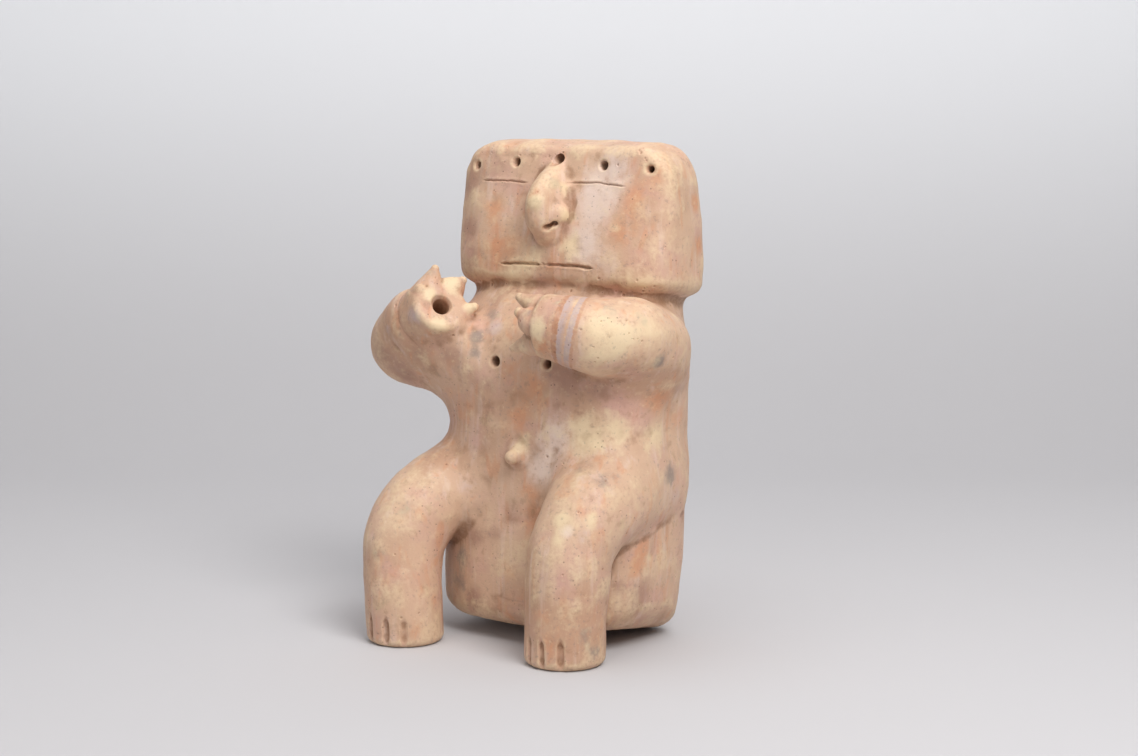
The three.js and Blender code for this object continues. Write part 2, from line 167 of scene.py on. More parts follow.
class Grid:
    """Samples on an even grid."""

    def __init__(self, lo, hi, h):
        self.lo, self.h = np.array(lo, float), h
        self.ax = [np.arange(lo[i], hi[i] + h, h, dtype=np.float32) for i in range(3)]
        self.F = np.full([len(a) for a in self.ax], 60, np.float32)

    def take(self, lo, hi):
        sl = tuple(slice(max(0, int((lo[i] - self.lo[i]) / self.h)), max(1, int((hi[i] - self.lo[i]) / self.h) + 2)) for i in range(3))
        x, y, z = (self.ax[i][sl[i]] for i in range(3))
        return sl, x[:, None, None], y[None, :, None], z[None, None, :]


class Cloud:
    """Samples at loose points."""

    def __init__(self, P):
        self.P = P.astype(np.float32)
        self.F = np.full(len(P), 60, np.float32)

    def take(self, lo, hi):
        k = np.where(((self.P >= np.array(lo, np.float32)) & (self.P <= np.array(hi, np.float32))).all(1))[0]
        return k, self.P[k, 0], self.P[k, 1], self.P[k, 2]


EVERYWHERE = ((-1e3,) * 3, (1e3,) * 3)


def around(points, r):
    p = np.array(points, float)[:, :3]
    return p.min(0) - r, p.max(0) + r


def seat(X, Y):
    return (SEAT_BACK - Y) * SEAT_SLOPE + np.where(X < -1, *SEAT_SIDES) * (np.abs(X + 1) / 57) ** 4


def banded(stations, bands):
    """Centre line of an arm, its radius following the bracelets near the hand."""
    q = spline(stations, 26)
    step = np.linalg.norm(np.diff(q[:, :3], axis=0), axis=1)
    back = np.concatenate([np.cumsum(step[::-1])[::-1], [0]])
    for lo, hi, high in bands:
        u = np.clip(np.minimum(back - lo, hi - back) / 0.7 + 0.5, 0, 1)
        q[:, 3] += high * u * u * (3 - 2 * u)
    return q


def hand(S, spec):
    """Blunt pyramid fingers round an open socket."""
    c, ax = np.array(spec["centre"], float), unit(spec["axis"])
    for finger in spec["fingers"]:
        key, X, Y, Z = S.take(*around(finger, 16))
        S.F[key] = join(S.F[key], tube(X, Y, Z, np.array(finger, float)), 2.2)
    key, X, Y, Z = S.take(*around([c], 28))
    r, e = spec["socket"], spec["reach"]
    sock = tube(X, Y, Z, np.array([np.append(c - ax * 12, r * 0.75), np.append(c + ax * (e - 2.5), r), np.append(c + ax * (e + 3), r + 3.0)]))
    S.F[key] = carve(S.F[key], sock, 0.9)


def vent(S, p, inward, r, depth):
    inward = unit(inward)
    p = np.array(p, float)
    key, X, Y, Z = S.take(*around([p + inward * depth, p - inward * 6], 6))
    line = np.array([np.append(p + inward * depth, r * 1.05), np.append(p + inward * 1.5, r), np.append(p - inward * 5, r * 1.5)])
    S.F[key] = carve(S.F[key], tube(X, Y, Z, line), 0.9)


def sculpt(S):
    """The whole figure as a signed distance on the samples S."""
    key, X, Y, Z = S.take(*EVERYWHERE)
    low = 10 - 4 * np.clip((Y - 12) / 25, 0, 1)
    torso = column(X, Y, Z, TORSO, seat, lambda X, Y, Z: Z - 226 + 0 * X, low, 6)
    crown = lambda X, Y, Z: round_cut(np.abs(X - 0.3) - 77.0 + (Z - 286) * 0.09,
                                      Z - 300.3 + 5.5 * np.clip((Y - 18) / 26, -1.5, 1.5) ** 2 + 2 * (X / 75) ** 2, 24)
    rim = 3.4 + 7 * np.clip((Y - 12) / 20, 0, 1)
    head = column(X, Y, Z, HEAD, lambda X, Y: 214 - (Y + 20) * 0.1 + 0 * X, crown, 8, rim)
    S.F[key] = join(torso, head, 3 + 6 * np.clip((np.abs(X - 1) - 42) / 18, 0, 1))
    del torso, head
    for arm, spec, bands, fold, side in ((ARM_R, HAND_R, BANDS_R, ELBOW_R, -1), (ARM_L, HAND_L, BANDS_L, ELBOW_L, 1)):
        line = banded(arm, bands)
        cut = fold * 26
        key, X, Y, Z = S.take(*around(arm, 46))
        ax = unit(spec["axis"])
        end = np.array(spec["centre"]) + ax * spec["reach"]
        beyond = (X - end[0]) * ax[0] + (Y - end[1]) * ax[1] + (Z - end[2]) * ax[2]
        upper, fore = tube(X, Y, Z, line[:cut + 1:2]), tube(X, Y, Z, line[cut:])
        fore = round_cut(fore, beyond, spec["rim"])
        if side < 0:
            upper = join(upper, tube(X, Y, Z, np.array(FILL_R, float)), 8)
        if side < 0:      # a crease where the folded arm lies against the chest, a full fillet below it
            u = np.clip((184 - Z) / 34, 0, 1)
            k = 5 + 19 * u * u * (3 - 2 * u) + 0 * X
            S.F[key] = join(join(S.F[key], upper, k), fore, 2.5 + 7 * np.clip((X + 95) / 30, 0, 1))
        else:
            S.F[key] = join(S.F[key], join(upper, fore, 2.5), 8 + 12 * np.clip((186 - Z) / 26, 0, 1) + 0 * X)
    for leg in (LEG_R, LEG_L):
        line = spline(leg[:-1] + [(leg[-1][0], leg[-1][1], -30, leg[-1][3])])
        key, X, Y, Z = S.take(*around(leg, 50))
        d = round_cut(tube(X, Y, Z, line), -Z, SOLE_ROUND)
        S.F[key] = join(S.F[key], d, 1.5 + 10.5 * np.clip((Z - 55) / 30, 0, 1))
    for spec in (HAND_R, HAND_L):
        hand(S, spec)
    # nose: a pinched ridge on a broad root
    key, X, Y, Z = S.take(*around(NOSE, 22))
    S.F[key] = join(S.F[key], tube(X, Y, Z, spline(NOSE_ROOT)), 5)
    S.F[key] = join(S.F[key], tube(X, Y, Z, spline(NOSE)), 9)
    wing = np.sqrt((X - 7.5) ** 2 + (Y + 17.5) ** 2 + (Z - 258) ** 2) - 6.4
    S.F[key] = join(S.F[key], np.minimum(wing, np.sqrt((X + 7.5) ** 2 + (Y + 17) ** 2 + (Z - 257) ** 2) - 6.2), 3)
    for line in ([(6.0, -29, 247.6, 2.5), (4.6, -20, 252, 1.8)], [(9.6, -26, 249.6, 2.3), (7.4, -19, 252.6, 1.8)],
                 [(-8.6, -20.5, 249.5, 2.0), (-6, -16, 251.8, 1.5)]):
        S.F[key] = carve(S.F[key], tube(X, Y, Z, np.array(line)), 1.1)
    # navel: a pinched button with a dented lower rim
    x, z, r, out = NAVEL
    y = front_of(TORSO, x, z)
    key, X, Y, Z = S.take(*around([(x, y, z)], 16))
    S.F[key] = join(S.F[key], tube(X, Y, Z, np.array([(x, y + 2, z, r * 1.5), (x, y - out + r * 0.85, z - 0.8, r * 0.82)])), 4)
    S.F[key] = carve(S.F[key], tube(X, Y, Z, np.array([(x + 0.5, y - out - 0.9, z - 5.2, 2.0), (x - 3.4, y - out - 0.3, z - 2.6, 1.3)])), 1.2)
    for x, z in BROW_VENTS:
        y = front_of(HEAD, x, z)
        slope = (front_of(HEAD, x + 2, z) - front_of(HEAD, x - 2, z)) / 4
        vent(S, (x, y, z), (0.22 - slope, 1, -0.12), 2.8, 15)
    for x, z in CHEST_VENTS:
        vent(S, (x, front_of(TORSO, x, z), z), (0.05, 1, 0), 3.1, 15)
    # toes: gouged notches, deep above and open below
    for leg, angles in TOES:
        cx, cy, r = leg[-1][0], leg[-1][1], leg[-1][3]
        for a in angles:
            c, s = math.cos(math.radians(a)), math.sin(math.radians(a))
            key, X, Y, Z = S.take(*around([(cx + c * r, cy + s * r, 0), (cx + c * r, cy + s * r, 20)], 7))
            line = np.array([(cx + c * (r + 1.2), cy + s * (r + 1.2), 19, 0.9), (cx + c * (r + 0.5), cy + s * (r + 0.5), 15, 1.9),
                             (cx + c * (r + 0.6), cy + s * (r + 0.6), 6, 2.1), (cx + c * (r + 0.9), cy + s * (r + 0.9), -4, 2.2)])
            S.F[key] = carve(S.F[key], tube(X, Y, Z, line), 1.0)
    key, X, Y, Z = S.take(*EVERYWHERE)
    S.F[key] = np.maximum(S.F[key], -Z)
    return S.F


def skin(F, lo, h):
    """Closed quad mesh of the zero level (one vertex in each crossed cell)."""
    nx, ny, nz = F.shape
    S = F < 0
    C = [F[i:nx - 1 + i, j:ny - 1 + j, k:nz - 1 + k] for i in (0, 1) for j in (0, 1) for k in (0, 1)]
    n = sum((c < 0).astype(np.int8) for c in C)
    act = (n > 0) & (n < 8)
    cells = np.argwhere(act)
    idx = -np.ones(act.shape, np.int32)
    idx[act] = np.arange(len(cells))
    ci, cj, ck = cells.T
    vals = np.stack([c[ci, cj, ck] for c in C], 1).astype(float)
    offs = np.array([[i, j, k] for i in (0, 1) for j in (0, 1) for k in (0, 1)], float)
    acc, cnt = np.zeros((len(cells), 3)), np.zeros(len(cells))
    for a in range(8):
        for b in range(a + 1, 8):
            d = offs[b] - offs[a]
            if np.abs(d).sum() != 1:
                continue
            va, vb = vals[:, a], vals[:, b]
            m = (va < 0) != (vb < 0)
            acc[m] += offs[a] + (va[m] / (va[m] - vb[m]))[:, None] * d
            cnt[m] += 1
    V = (cells + acc / cnt[:, None]) * h + np.array(lo)
    quads = []
    for ax in range(3):
        s0, s1 = [slice(None)] * 3, [slice(None)] * 3
        s0[ax], s1[ax] = slice(0, -1), slice(1, None)
        A, B = S[tuple(s0)], S[tuple(s1)]
        b, c = [o for o in (0, 1, 2) if o != ax]
        E = np.argwhere(A != B)
        E = E[(E[:, b] > 0) & (E[:, b] < F.shape[b] - 1) & (E[:, c] > 0) & (E[:, c] < F.shape[c] - 1)]
        flip = A[tuple(E.T)]

        def cell(db, dc):
            q = E.copy()
            q[:, b] -= db
            q[:, c] -= dc
            return idx[tuple(q.T)]

        q = np.stack([cell(1, 1), cell(0, 1), cell(0, 0), cell(1, 0)], 1)
        if ax == 1:
            flip = ~flip
        q[~flip] = q[~flip][:, ::-1]
        quads.append(q)
    return V, np.concatenate(quads)


# ---------------------------------------------------------------- noise
def lattice(i, j, k, seed):
    n = (i * 73856093) ^ (j * 19349663) ^ (k * 83492791) ^ (seed * 2654435761)
    n = (n ^ (n >> 13)) * 1274126177 & 0xFFFFFFFF
    n = (n ^ (n >> 16)) * 2246822519 & 0xFFFFFFFF
    return ((n ^ (n >> 13)) & 0xFFFF) / 32767.5 - 1


def noise(P, size, seed=1):
    """Smooth value noise in -1..1; size is one length or one per axis."""
    q = P / np.array(size, float)
    f = np.floor(q)
    t = q - f
    t = t * t * t * (t * (t * 6 - 15) + 10)
    i, j, k = (f[:, a].astype(np.int64) for a in range(3))
    out = 0
    for a in (0, 1):
        for b in (0, 1):
            for c in (0, 1):
                w = (t[:, 0] if a else 1 - t[:, 0]) * (t[:, 1] if b else 1 - t[:, 1]) * (t[:, 2] if c else 1 - t[:, 2])
                out = out + w * lattice(i + a, j + b, k + c, seed)
    return out * 1.6


def smooth(u):
    u = np.clip(u, 0, 1)
    return u * u * (3 - 2 * u)


# ---------------------------------------------------------------- mesh tools
def double(F):
    """A grid of samples at half its step."""
    for ax in range(3):
        n = F.shape[ax]
        out = np.repeat(F, 2, axis=ax)
        a, b = [slice(None)] * 3, [slice(None)] * 3
        a[ax], b[ax] = slice(0, n - 1), slice(1, n)
        odd = [slice(None)] * 3
        odd[ax] = slice(1, 2 * n - 1, 2)
        out[tuple(odd)] = (F[tuple(a)] + F[tuple(b)]) / 2
        cut = [slice(None)] * 3
        cut[ax] = slice(0, 2 * n - 1)
        F = out[tuple(cut)]
    return F


def sampled(P):
    return sculpt(Cloud(P))


def normals(V, T):
    n = np.cross(V[T[:, 1]] - V[T[:, 0]], V[T[:, 2]] - V[T[:, 0]])
    N = np.zeros_like(V)
    for i in range(3):
        for a in range(3):
            N[:, a] += np.bincount(T[:, i], n[:, a], len(V))
    return N / (np.linalg.norm(N, axis=1)[:, None] + 1e-12)


def onto(V, N, rounds=2):
    """Moves points along N onto the sculpted surface."""
    V = V.copy()
    for i in range(rounds):
        f = sampled(V).astype(float)
        g = sampled(V + 0.25 * N).astype(float)
        slope = np.clip((g - f) / 0.25, 0.35, 1.2)
        V -= np.clip(f / slope, -0.7, 0.7)[:, None] * N
    return V


def split(V, T, size):
    """Cuts every edge that is longer than size at its middle, and keeps the mesh closed."""
    E = np.concatenate([T[:, [0, 1]], T[:, [1, 2]], T[:, [2, 0]]])
    E.sort(axis=1)
    code = E[:, 0].astype(np.int64) * len(V) + E[:, 1]
    uniq, first, inv = np.unique(code, return_index=True, return_inverse=True)
    U = E[first]
    mid = (V[U[:, 0]] + V[U[:, 1]]) / 2
    long = np.linalg.norm(V[U[:, 0]] - V[U[:, 1]], axis=1) > 1.4 * size(mid)
    mark = long[inv].reshape(3, -1).T
    # a triangle with two marked edges gets its third marked as well, when that one is long too
    idx = np.full(len(U), -1, np.int64)
    idx[long] = len(V) + np.arange(long.sum())
    m = idx[inv].reshape(3, -1).T
    n = mark.sum(1)
    out = [T[n == 0]]
    t, q = T[n == 3], m[n == 3]
    out += [np.c_[t[:, 0], q[:, 0], q[:, 2]], np.c_[t[:, 1], q[:, 1], q[:, 0]], np.c_[t[:, 2], q[:, 2], q[:, 1]], q]
    for r in range(3):
        a, b, c = r, (r + 1) % 3, (r + 2) % 3
        k = (n == 1) & mark[:, a]
        t, q = T[k], m[k]
        out += [np.c_[t[:, a], q[:, a], t[:, c]], np.c_[q[:, a], t[:, b], t[:, c]]]
        k = (n == 2) & ~mark[:, c]
        t, q = T[k], m[k]
        out += [np.c_[t[:, b], q[:, b], q[:, a]]]
        p, s = t[:, a], t[:, c]
        d1 = np.linalg.norm(mid_of(V, mid, long, p) - mid_of(V, mid, long, q[:, b]), axis=1)
        d2 = np.linalg.norm(mid_of(V, mid, long, q[:, a]) - mid_of(V, mid, long, s), axis=1)
        w = d1 < d2
        out += [np.c_[p, q[:, a], q[:, b]][w], np.c_[p, q[:, b], s][w], np.c_[p, q[:, a], s][~w], np.c_[q[:, a], q[:, b], s][~w]]
    return np.vstack([V, mid[long]]), np.concatenate(out), int(long.sum())


def mid_of(V, mid, long, i):
    out = np.zeros((len(i), 3))
    old = i < len(V)
    out[old] = V[i[old]]
    out[~old] = mid[long][i[~old] - len(V)]
    return out


def mesh_of(name, V, T):
    me = bpy.data.meshes.new(name)
    me.vertices.add(len(V))
    me.vertices.foreach_set("co", np.ascontiguousarray(V, np.float32).ravel())
    me.loops.add(len(T) * 3)
    me.loops.foreach_set("vertex_index", np.ascontiguousarray(T, np.int32).ravel())
    me.polygons.add(len(T))
    me.polygons.foreach_set("loop_start", np.arange(0, len(T) * 3, 3, dtype=np.int32))
    me.polygons.foreach_set("loop_total", np.full(len(T), 3, np.int32))
    me.update(calc_edges=True)
    me.validate()
    return me


def thinned(V, T, ratio):
    """The same skin with fewer triangles."""
    o = bpy.data.objects.new("draft", mesh_of("draft", V, T))
    bpy.context.scene.collection.objects.link(o)
    m = o.modifiers.new("thin", "DECIMATE")
    m.ratio = ratio
    e = o.evaluated_get(bpy.context.evaluated_depsgraph_get())
    me = e.to_mesh()
    v = np.empty(len(me.vertices) * 3, np.float32)
    me.vertices.foreach_get("co", v)
    t = np.empty(len(me.loops), np.int32)
    me.loops.foreach_get("vertex_index", t)
    e.to_mesh_clear()
    draft = o.data
    bpy.data.objects.remove(o)
    bpy.data.meshes.remove(draft)
    return v.reshape(-1, 3).astype(float), t.reshape(-1, 3)


# ---------------------------------------------------------------- cut and worn details
def seg_xz(P, a, b):
    """Distance to a segment seen from the front, and how far along it."""
    a, b = np.array(a, float), np.array(b, float)
    d = b - a
    t = np.clip(((P[:, 0] - a[0]) * d[0] + (P[:, 2] - a[1]) * d[1]) / (d @ d), 0, 1)
    return np.hypot(P[:, 0] - a[0] - t * d[0], P[:, 2] - a[1] - t * d[1]), t


EYE_CUTS = [((-54.7, 274.6), (-37, 275.4), (-20.1, 274.6)), ((10.7, 275.4), (31, 276.0), (49.5, 274.0))]
MOUTH_CUTS = [((-33.2, 226.0), (-18, 226.8), (-3.4, 226.5)), ((-0.6, 226.7), (17, 227.2), (33.5, 226.0))]
FACE_Y = 12.0        # the face lies in front of this


def slits():
    """(polyline, half width, depth, lip) of each cut."""
    return ([(p, 0.36, 0.85, 0.16) for p in EYE_CUTS] + [(p, 0.85, 2.0, 0.22) for p in MOUTH_CUTS])


RNG = np.random.default_rng(7)


def scatter(V, N, n, where, lo, hi):
    """n spots on the skin: (point, radius)."""
    k = RNG.permutation(np.where(where(V, N))[0])[:n]
    return [(V[i], RNG.uniform(lo, hi)) for i in k]


# ---------------------------------------------------------------- the skin
def base_skin():
    lo, hi = (-130.0, -104.0, -5.6), (101.0, 60.0, 306.0)
    step = 2.8
    G = Grid(lo, hi, step)
    F = double(sculpt(G))
    h = step / 2
    ax = [G.lo[i] + h * np.arange(F.shape[i]) for i in range(3)]
    near = np.argwhere(np.abs(F) < 3.6)
    P = np.stack([ax[i][near[:, i]] for i in range(3)], 1)
    F[tuple(near.T)] = sampled(P)
    F[0] = F[-1] = 9
    F[:, 0] = F[:, -1] = 9
    F[:, :, 0] = F[:, :, -1] = 9
    V, Q = skin(F, G.lo, h)
    a = np.linalg.norm(V[Q[:, 0]] - V[Q[:, 2]], axis=1) < np.linalg.norm(V[Q[:, 1]] - V[Q[:, 3]], axis=1)
    T = np.concatenate([Q[a][:, [0, 1, 2]], Q[a][:, [0, 2, 3]], Q[~a][:, [0, 1, 3]], Q[~a][:, [1, 2, 3]]])
    V, T = thinned(V, T, 0.56)
    return onto(V, normals(V, T)), T


def sizes(P, pits):
    """The wanted edge length at points P."""
    s = np.full(len(P), 9.0)
    front = P[:, 1] < FACE_Y
    for line, half, deep, lip in slits():
        for a, b in zip(line[:-1], line[1:]):
            d, t = seg_xz(P, a, b)
            s = np.where(front, np.minimum(s, 0.26 + 0.2 * half + 0.35 * np.maximum(d - 2.2 * half - 0.3, 0)), s)
    for p, r, fine in FINE:
        d = np.linalg.norm(P - np.array(p), axis=1)
        s = np.minimum(s, fine + 0.4 * np.maximum(d - r, 0))
    for arm, bands in ((ARM_R, BANDS_R), (ARM_L, BANDS_L)):
        q = spline(arm, 26)
        step = np.linalg.norm(np.diff(q[:, :3], axis=0), axis=1)
        back = np.concatenate([np.cumsum(step[::-1])[::-1], [0]])
        for edge in [x for b in bands for x in b[:2]]:
            i = int(np.argmin(np.abs(back - edge)))
            ax = unit(q[min(i + 1, len(q) - 1), :3] - q[max(i - 1, 0), :3])
            w = np.abs((P - q[i, :3]) @ ax)
            near = np.linalg.norm(P - q[i, :3], axis=1) < q[i, 3] + 4
            s = np.where(near, np.minimum(s, 0.75 + 0.5 * np.maximum(w - 1.2, 0)), s)
    if len(pits):
        c = np.array([p for p, r in pits])
        r = np.array([r for p, r in pits])
        for i in range(len(c)):
            k = np.where((np.abs(P - c[i]) < 3 * r[i] + 1.5).all(1))[0]
            d = np.linalg.norm(P[k] - c[i], axis=1)
            s[k] = np.minimum(s[k], 0.55 * r[i] + 0.5 * np.maximum(d - 1.4 * r[i], 0))
    return s


FINE = [((0, -24, 248), 17, 0.9), ((4, -27, 247), 5, 0.6), ((-1.2, -54, 115), 10, 0.6),
        ((-57, -48, 202), 19, 0.95), ((-54, -50, 202), 8, 0.7), ((16, -60, 196), 20, 0.8), ((-64, -45, 220), 6, 0.6), ((-51, -34, 214), 6, 0.6), ((-42, -36, 200), 6, 0.6)]
for _x, _z in BROW_VENTS:
    FINE.append(((_x, front_of(HEAD, _x, _z), _z), 5.5, 0.75))
for _x, _z in CHEST_VENTS:
    FINE.append(((_x, front_of(TORSO, _x, _z), _z), 6, 0.75))
for _leg, _angles in TOES:
    for _a in _angles:
        _c, _s = math.cos(math.radians(_a)), math.sin(math.radians(_a))
        for _z in (2, 9, 16):
            FINE.append(((_leg[-1][0] + _c * _leg[-1][3], _leg[-1][1] + _s * _leg[-1][3], _z), 5.5, 0.85))


def relief(P, N, pits):
    """How far each point of the skin stands out (+) or in (-), in mm."""
    foot = smooth((P[:, 2] - 1.0) / 7)
    d = 0.42 * noise(P, 27, 3) + 0.22 * noise(P, 12, 5) + 0.10 * noise(P, 5.5, 9) + 0.05 * noise(P, 2.8, 11)
    # burnishing strokes run up and down the body, along the legs
    d += 0.16 * noise(P, (6.5, 9, 60), 21) * smooth((178 - P[:, 2]) / 30)
    d += 0.10 * noise(P, (30, 30, 7), 23) * smooth((P[:, 2] - 205) / 10) * smooth((N[:, 1] + 0.2) / -0.5)
    # the head's top edge in front: a low uneven lip
    top = smooth((P[:, 2] - 286) / 5) * smooth((6 - P[:, 1]) / 8)
    d += top * (0.45 * noise(P, (14, 40, 40), 31) + 0.25 * noise(P, (5, 40, 40), 33))
    # lower edge of the head: dinted
    low = smooth(1 - np.abs(P[:, 2] - 216) / 6) * smooth((0 - P[:, 1]) / 10)
    d += low * 0.35 * noise(P, (8, 30, 5), 37)
    front = (P[:, 1] < FACE_Y) & (N[:, 1] < 0.15)
    wob = 0.30 * noise(P, (4.5, 40, 40), 41) + 0.15 * noise(P, (1.8, 40, 40), 43)
    Q = P.copy()
    for line, half, deep, lip in slits():
        best, along_it, total = None, None, len(line) - 1
        Q[:, 2] = P[:, 2] + wob * half / 0.85
        for i, (a, b) in enumerate(zip(line[:-1], line[1:])):
            q, t = seg_xz(Q, a, b)
            if best is None:
                best, along_it = q, (i + t) / total
            else:
                w = q < best
                best, along_it = np.where(w, q, best), np.where(w, (i + t) / total, along_it)
        ends = smooth(along_it / 0.10) * smooth((1 - along_it) / 0.10)
        width = half * (0.45 + 0.75 * ends) * (1 + 0.25 * noise(P, (3.5, 40, 40), 47))
        cut = smooth((width + 0.35 - best) / (width + 0.1))
        ridge = smooth(1 - np.abs(best - width - 0.9) / 1.3)
        d = np.where(front, d - deep * cut * (0.25 + 0.75 * ends) + lip * ridge * ends * (0.6 + 0.6 * noise(P, (6, 40, 3), 49)), d)
    crumb = np.hypot(P[:, 0] + 1.8, P[:, 2] - 227)
    d = np.where(front, d - 0.9 * smooth((1.6 - crumb) / 1.2), d)
    for p, r in pits:
        k = np.where((np.abs(P - p) < 2.4 * r).all(1))[0]
        q = np.linalg.norm(P[k] - p, axis=1) / r
        d[k] -= r * 0.62 * smooth((1.25 - q) / 1.0) - 0.10 * r * smooth(1 - np.abs(q - 1.45) / 0.5)
    return d * foot


def figure_skin():
    V, T = base_skin()
    N = normals(V, T)
    anywhere = lambda P, M: (P[:, 2] > 12)
    pits = scatter(V, N, 70, anywhere, 0.5, 1.0)
    pits += scatter(V, N, 34, lambda P, M: (P[:, 1] < -5) & (P[:, 2] > 211) & (P[:, 2] < 221), 0.5, 1.1)
    pits += scatter(V, N, 34, lambda P, M: (P[:, 1] < -30) & (P[:, 2] > 176) & (P[:, 2] < 212) & (P[:, 0] > 10) & (P[:, 0] < 92), 0.45, 0.95)
    pits += scatter(V, N, 22, lambda P, M: (P[:, 1] < 0) & (P[:, 2] > 286), 0.5, 1.0)
    for i in range(5):
        V, T, new = split(V, T, lambda P: sizes(P, pits))
        N = normals(V, T)
        if new:
            V[-new:] = onto(V[-new:], N[-new:], 1)
        if new < 400:
            break
    N = normals(V, T)
    V = onto(V, N, 1)
    N = normals(V, T)
    return V, T, N, pits


